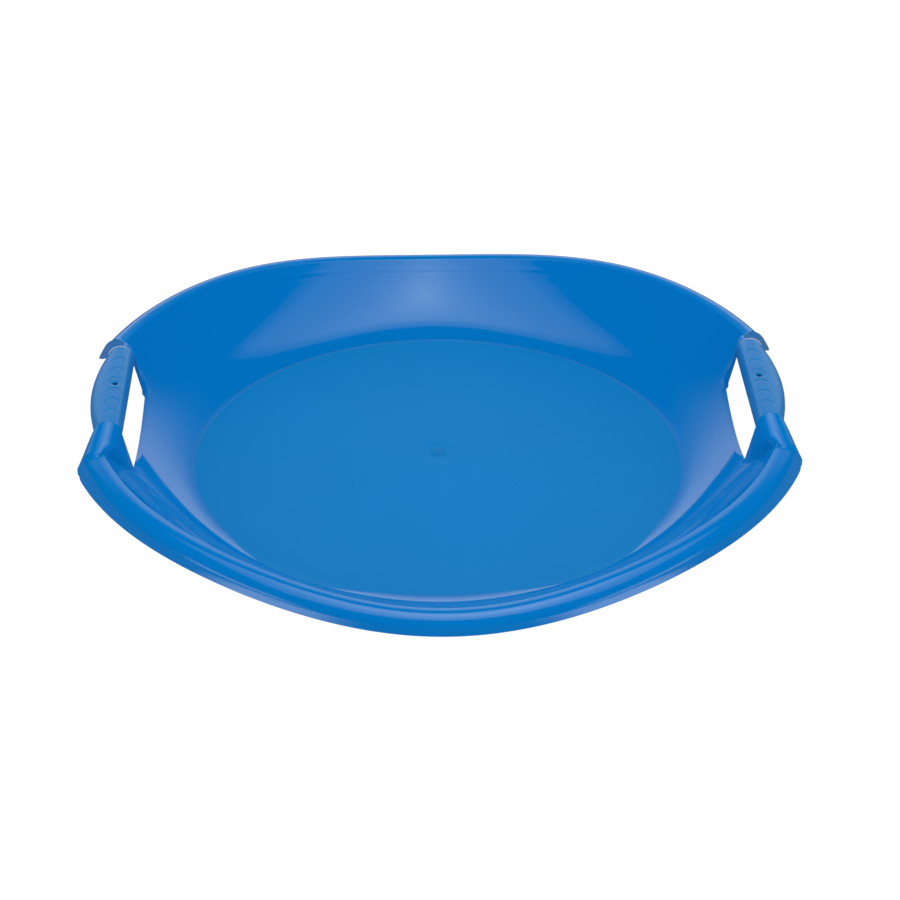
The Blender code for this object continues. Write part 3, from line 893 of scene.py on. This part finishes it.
grip = {
    "innerSide": 0.2449,
    "bulge": 0.0288,
    "endWidth": 0.0203,
    "endMiddle": 0.2553,  # top of the section at both ends, under the bow's own arch
    "endBand": 0.0003,
    "top": 0.0752,
    "endDrop": 0.0004,
    "parting": 0.0645,
    "bottom": 0.0541,
    "halfLength": 0.0597,
    "fullness": 2.2,
    "lowerFullness": 2.7,
    "bandStart": 0.2497,  # the top band, which carries the finger marks
    "bandEnd": 0.2590,
    "lowerBand": (0.008, 0.010),
    "outerFall": 0.12,
    "shell": 0.0022,
    "seam": 0.0003,
    "markPitch": 0.0164,
    "markDepth": 0.0005,
    "markBend": 0.0045,
    "markReach": 0.0047,
    "markRise": 0.0006,  # a mark's steep side, and the long one opposite
    "markRun": 0.0038,
    "markSpan": 0.0430,
    "markFade": (0.7, 1.6),  # shares of its reach between which a mark fades out sideways
    "markGap": (0.0045, 0.0060),  # the marks keep clear of the hole
    "dimpleDepth": 0.0005,
    "dimpleRing": (0.0024, 0.0050),
    "nub": 0.0010,
    "nubAlong": 0.0572,
    "nubWidth": 0.0011,
    "holeRadius": 0.00225,
    "holeX": 0.2546,
    "pegFoot": 0.0552,
    "pegTop": 0.0672,
    "pegCorners": 32,
    "cutLow": 0.05,  # the cutters for slots and holes reach from here to there
    "cutHigh": 0.09,
    "cutReach": 0.1,
    "sharpAngle": 40,
    "ringPoints": 112,
    "rings": 190,
    "evenShare": 0.55,  # how evenly a ring's points are spread over its width
}


def gripTree(upper, material):
    used = ["innerSide", "bulge", "endWidth", "bandStart", "bandEnd", "endMiddle", "outerFall", "endDrop"]
    used += ["parting", "halfLength", "fullness", "markPitch", "markDepth", "markBend", "dimpleDepth", "nub"]
    sizes = {label(name): grip[name] for name in used}
    sizes.update({"Crown": grip["top"] - grip["parting"], "Shell": 0.0})
    if not upper:
        # the lower shell is plain and starts a seam's width below the upper one
        parting = grip["parting"] - grip["seam"]
        sizes.update({"Parting": parting, "Crown": grip["bottom"] - parting, "Fullness": grip["lowerFullness"]})
        sizes.update(dict.fromkeys(["Outer Fall", "End Drop", "Mark Depth", "Dimple Depth", "Nub"], 0.0))
        for title, reach in zip(("Band Start", "Band End"), grip["lowerBand"]):
            sizes[title] = grip["innerSide"] + reach
    tree, size = geometryTree("gripShell" + ("Upper" if upper else "Lower"), sizes)
    wire = size["Geometry"]
    drumSizes = {"Vertices": grip["ringPoints"], "Side Segments": grip["rings"], "Radius": 1.0, "Depth": 2.0}
    drum = wire.node("GeometryNodeMeshCylinder", {"fill_type": "NGON"}, drumSizes)
    x, y, z = wire.node("GeometryNodeInputPosition").xyz()
    along = z * (size["Half Length"] - size["Shell"])
    share = along / size["Half Length"]
    width = size["Bulge"] - (size["Bulge"] - size["End Width"]) * share * share
    inner = size["Inner Side"] + size["Shell"]
    outer = size["Inner Side"] + width - size["Shell"]

    # spreads the ring's points evenly over its upper half, then bends them to the section
    spread = 1.0 - abs(y).math("ARCTAN2", x) / math.pi
    even = spread * grip["evenShare"] + (x + 1.0) * 0.5 * (1 - grip["evenShare"])
    across = inner + (outer - inner) * even
    atEnd = (share * share) ** 2.0
    bandStart = size["Band Start"] + (size["End Middle"] - grip["endBand"] - size["Band Start"]) * atEnd
    bandEnd = size["Band End"] + (size["End Middle"] + grip["endBand"] - size["Band End"]) * atEnd
    toInner = ((bandStart - across) / (bandStart - inner)).clamp()
    toOuter = ((across - bandEnd) / (outer - bandEnd)).clamp()
    reach = toInner.math("MAXIMUM", toOuter)
    lift = (1.0 - reach ** size["Fullness"]).clamp() ** (1.0 / size["Fullness"])
    lift = lift - size["Outer Fall"] * toOuter * (1.0 - toOuter) * (1.0 - atEnd)
    upperHalf = y.math("GREATER_THAN", 0.0001)
    height = size["Crown"] - size["End Drop"] * share * share
    sign = height.math("SIGN")
    tall = (abs(height) - size["Shell"]) * sign

    # finger marks: crescents across the top band, and a dimple round the hole
    sideways = across - grip["holeX"]
    offCentre = sideways / grip["markReach"]
    bent = along + size["Mark Bend"] * offCentre * offCentre
    nearest = (bent / size["Mark Pitch"] + 0.5).math("ROUND") - 0.5
    away = bent - nearest * size["Mark Pitch"]
    sharp = away.ramp(-grip["markRise"], 0.0) * away.fall(0.0, grip["markRun"])
    span = grip["markSpan"]
    dent = sharp * size["Mark Depth"] * abs(along).fall(span + 0.001, span + 0.003)
    dent = dent * abs(offCentre).fall(*grip["markFade"])
    fromHole = (sideways * sideways + along * along) ** 0.5
    dimple = fromHole.fall(*grip["dimpleRing"]) * size["Dimple Depth"]
    dent = dent * fromHole.ramp(*grip["markGap"]) + dimple
    past = (1.0 - upperHalf) * size["Shell"] * sign
    placeZ = size["Parting"] + (tall * lift - dent) * upperHalf - past

    # a small nub at the outer side, near the front end
    outerSide = ((across - inner) / (outer - inner)).ramp(0.93, 1.0)
    across = across + along.bell(-grip["nubAlong"], grip["nubWidth"]) * outerSide * size["Nub"]
    closeTree(tree, moved(drum, Position=wire.combine(across, along, placeZ)), material)
    return tree, sizes


def gripForm(name, side, tree, sizes, shell=0.0):
    # one half of a grip as a solid, and with a shell's thickness the room inside it
    obj = newObject(name, bpy.data.meshes.new(name))
    growMesh(obj, tree, dict(sizes, Shell=shell))
    body = bmesh.new()
    body.from_mesh(obj.data)
    for vertex in body.verts:
        vertex.co.x *= side
    bmesh.ops.recalc_face_normals(body, faces=body.faces)
    body.to_mesh(obj.data)
    body.free()
    return obj


def makeGrip(side, word, material):
    made = []
    seam = grip["seam"]
    for upper in (True, False):
        part = "upper" if upper else "lower"
        tree, sizes = gripTree(upper, material)
        obj = gripForm(word + "_grip_" + part + "_shell", side, tree, sizes)
        carve(obj, gripForm("hollow", side, tree, sizes, grip["shell"]))

        # the slot that the bar lies in, open towards the other shell
        slotLow = grip["cutLow"] if upper else bow["barTop"] - bow["barHeight"] - seam
        slotHigh = bow["barTop"] + seam if upper else grip["cutHigh"]
        middle, half = side * bow["barX"], bow["barHalf"] + seam
        low = (middle - half, -grip["cutReach"], slotLow)
        high = (middle + half, grip["cutReach"], slotHigh)
        carve(obj, newObject("slot", boxMesh("slot", low, high)))
        holeX, radius = side * grip["holeX"], grip["holeRadius"]
        if upper:
            hole = cylinderMesh("hole", holeX, radius, grip["cutLow"], grip["cutHigh"])
            carve(obj, newObject("hole", hole))
        else:
            peg = cylinderMesh("peg", holeX, radius - seam, grip["pegFoot"], grip["pegTop"], grip["pegCorners"])
            carve(obj, newObject("peg", peg), "UNION")
        dress(obj, material)
        obj.data.shade_smooth()
        obj.data.set_sharp_from_angle(angle=math.radians(grip["sharpAngle"]))
        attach(obj, "root")
        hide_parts(word + "_grip_" + part)
        made.append(obj)
    return made


glossBlue = dishMaterial()
matteBlue = gripMaterial()

dish = newObject("dish_moulding", dishPlan())
tree, sizes = dishTree(glossBlue)
growMesh(dish, tree, sizes)
print("dish:", len(dish.data.vertices), "points before its edges are rounded")
roundEdges(dish, saucer["edgeRound"])
addBars(dish)
dress(dish, glossBlue)
dish.data.shade_smooth()
dish.data.set_sharp_from_angle(angle=math.radians(saucer["sharpAngle"]))
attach(dish, "root")
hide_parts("dish")
print("dish:", len(dish.data.polygons), "faces")

for side, word in ((-1, "left"), (1, "right")):
    for obj in makeGrip(side, word, matteBlue):
        print(obj.name, len(obj.data.polygons), "faces")

studio = {
    "floorHalf": 12,
    "floorDrop": 0.0002,
    "fillLow": 1.32,  # what lights the matt colour from near the horizon, and from straight above
    "fillHigh": 0.56,
    "lowLamps": 2.7,
    "groundSeen": 0.92,  # how white the ground is for the camera and in the gloss
    "groundWhite": 1.08,
    "groundColour": (0.82, 0.82, 0.82, 1),
    "groundMirror": 0.05,  # how much of the ground's white the gloss shows, as painted light: near the sled, and none beyond
    "groundLit": 2.4,  # the same in two painted pools of light, to both sides of the front
    "groundNear": 0.4,
    "groundFar": 0.9,
    "backdrop": 1.0,  # white backdrop behind the sled, seen in its gloss
    "backdropSide": (0.60, 0.90),
    "backdropTop": (0.24, 0.68),
    "softboxHeight": 2.0,
    "softboxX": (-1.22, 1.50),
    "softboxY": (-1.35, 1.05),
    "softboxRim": (0.12, 0.16),  # shares of its width and depth over which its cloth is dimmer
    "softboxRimLight": 0.35,
    "hotSpot": (0.10, 0.05),
    "hotWidth": (0.36, 0.80),
    "softboxEdge": 0.60,
    "softboxHot": 2.9,
    "cameraDistance": 1.93,
    "cameraElevation": 31.38,
    "turn": 1.5,
    "targetHeight": 0.003,
    "photoSize": 900,  # the rest of the view as fitted to the photograph, in its pixels
    "pixelsPerMetre": 1241,
    "middleX": 437.5,
    "middleY": 456.4,
}


whiteLight = (1, 1, 1, 1)


def rays(wire, *kinds):
    # for each kind, 1 where a surface is seen by such a ray
    path = wire.node("ShaderNodeLightPath")
    return [path.also("Is " + kind + " Ray") for kind in kinds]


def makeFloor():
    half = studio["floorHalf"]
    corners = [(x * half, y * half, -studio["floorDrop"]) for x, y in ((-1, -1), (1, -1), (1, 1), (-1, 1))]
    mesh = bpy.data.meshes.new("studioFloor")
    mesh.from_pydata(corners, [], [(0, 1, 2, 3)])
    floor = newObject("studio_floor", mesh)
    material, wire = startMaterial("paleFloor")
    camera, glossy, clear = rays(wire, "Camera", "Glossy", "Transmission")
    x, y = wire.node("ShaderNodeTexCoord", out=3).xyz()[:2]
    radius = (x * x + y * y) ** 0.5
    near = radius.fall(studio["groundNear"], studio["groundFar"])
    slant = abs(x) / (radius + 0.001)
    # painted light and shadow on the ground, seen only in the gloss: two pools of light to both sides of the
    # front that stop short of the ground beneath the sled, a faint glow elsewhere near it, and dark straight in
    # front, behind and far off
    lit = slant.ramp(0.24, 0.46) * slant.fall(0.60, 0.76) * y.fall(-0.05, 0.0)
    mirror = studio["groundMirror"] * slant.ramp(0.1, 0.4) + lit * radius.ramp(0.27, 0.36) * studio["groundLit"]
    seen = (camera + clear + glossy).clamp() * studio["groundSeen"]
    brightness = studio["groundWhite"] * (1.0 - glossy * (1.0 - near * mirror))
    pale = wire.node("ShaderNodeBsdfDiffuse", None, {"Color": studio["groundColour"]})
    white = wire.node("ShaderNodeEmission", None, {"Color": whiteLight, "Strength": brightness})
    finish(wire, wire.node("ShaderNodeMixShader", None, {0: seen, 1: pale, 2: white}))
    mesh.materials.append(material)


def makeSky():
    world = bpy.data.worlds.new("studioSky")
    bpy.context.scene.world = world
    wire = clearNodes(world)
    x, y, z = wire.node("ShaderNodeTexCoord", out=0).xyz()
    flat = (x * x + y * y + 1e-6) ** 0.5

    # the white backdrop stands behind the sled and fades out above and to the sides
    backdrop = (y / flat).ramp(*studio["backdropSide"]) * z.fall(*studio["backdropTop"])
    backdrop = backdrop * studio["backdrop"]
    backdrop = backdrop * z.ramp(0.02, 0.05)

    # two low lamps beside the camera, seen only in the skirt
    slant = abs(x) / flat
    beside = slant.ramp(0.50, 0.74) * slant.fall(0.93, 0.99) * y.fall(-0.1, 0.0)
    mirrored = backdrop + beside * z.fall(-0.05, 0.32) * studio["lowLamps"]
    fill = z.ramp(0.0, 0.9, studio["fillLow"], studio["fillHigh"])
    camera, glossy = rays(wire, "Camera", "Glossy")
    level = fill * (1 - glossy) * (1 - camera) + mirrored * glossy + camera
    glow = wire.node("ShaderNodeBackground", None, {"Color": whiteLight, "Strength": level})
    finish(wire, glow, "World")


def makeSoftbox():
    # one big overhead softbox, brightest in front of its bulb
    lowX, highX = studio["softboxX"]
    lowY, highY = studio["softboxY"]
    width, depth = highX - lowX, highY - lowY
    lamp = bpy.data.lights.new("overheadSoftbox", "AREA")
    lamp.shape = "RECTANGLE"
    lamp.size, lamp.size_y = width, depth
    lamp.energy = math.pi * width * depth
    wire = clearNodes(lamp)
    u, v = wire.node("ShaderNodeNewGeometry", out=5).xyz()[:2]
    x = u * width + lowX
    y = v * depth + lowY
    hotX, hotY = studio["hotSpot"]
    wideX, wideY = studio["hotWidth"]
    offX, offY = (x - hotX) / wideX, (y - hotY) / wideY
    away = (offX * offX + offY * offY) ** 0.5
    strength = (-away).math("EXPONENT") * studio["softboxHot"] + studio["softboxEdge"]
    # the cloth in front is dimmer along its edges
    dim = studio["softboxRimLight"]
    for share, soft in zip((u, v), studio["softboxRim"]):
        strength = strength * share.ramp(0.0, soft, dim, 1.0) * share.ramp(1 - soft, 1.0, 1.0, dim)
    finish(wire, wire.node("ShaderNodeEmission", None, {"Color": whiteLight, "Strength": strength}), "Light")
    obj = newObject("overhead_softbox", lamp)
    obj.location = ((lowX + highX) / 2, (lowY + highY) / 2, studio["softboxHeight"])


def makeCamera():
    camera = bpy.data.cameras.new("photoView")
    obj = newObject("photo_camera", camera)
    elevation = math.radians(studio["cameraElevation"])
    turn = math.radians(-studio["turn"])
    distance = studio["cameraDistance"]
    start = Vector((0, -distance * math.cos(elevation), distance * math.sin(elevation)))
    obj.location = (
        start.x * math.cos(turn) - start.y * math.sin(turn),
        start.x * math.sin(turn) + start.y * math.cos(turn),
        start.z + studio["targetHeight"],
    )
    obj.rotation_euler = (math.pi / 2 - elevation, 0, turn)
    size = studio["photoSize"]
    camera.sensor_width = 36
    camera.sensor_fit = "HORIZONTAL"
    camera.lens = 36 * studio["pixelsPerMetre"] * distance / size
    camera.shift_x = (size / 2 - studio["middleX"] - 0.5) / size
    camera.shift_y = (studio["middleY"] + 0.5 - size / 2) / size
    camera.clip_end = 100
    bpy.context.scene.camera = obj


makeFloor()
makeSky()
makeSoftbox()
makeCamera()
bpy.context.scene.view_settings.view_transform = "Standard"
print("studio: floor, sky, softbox and camera")
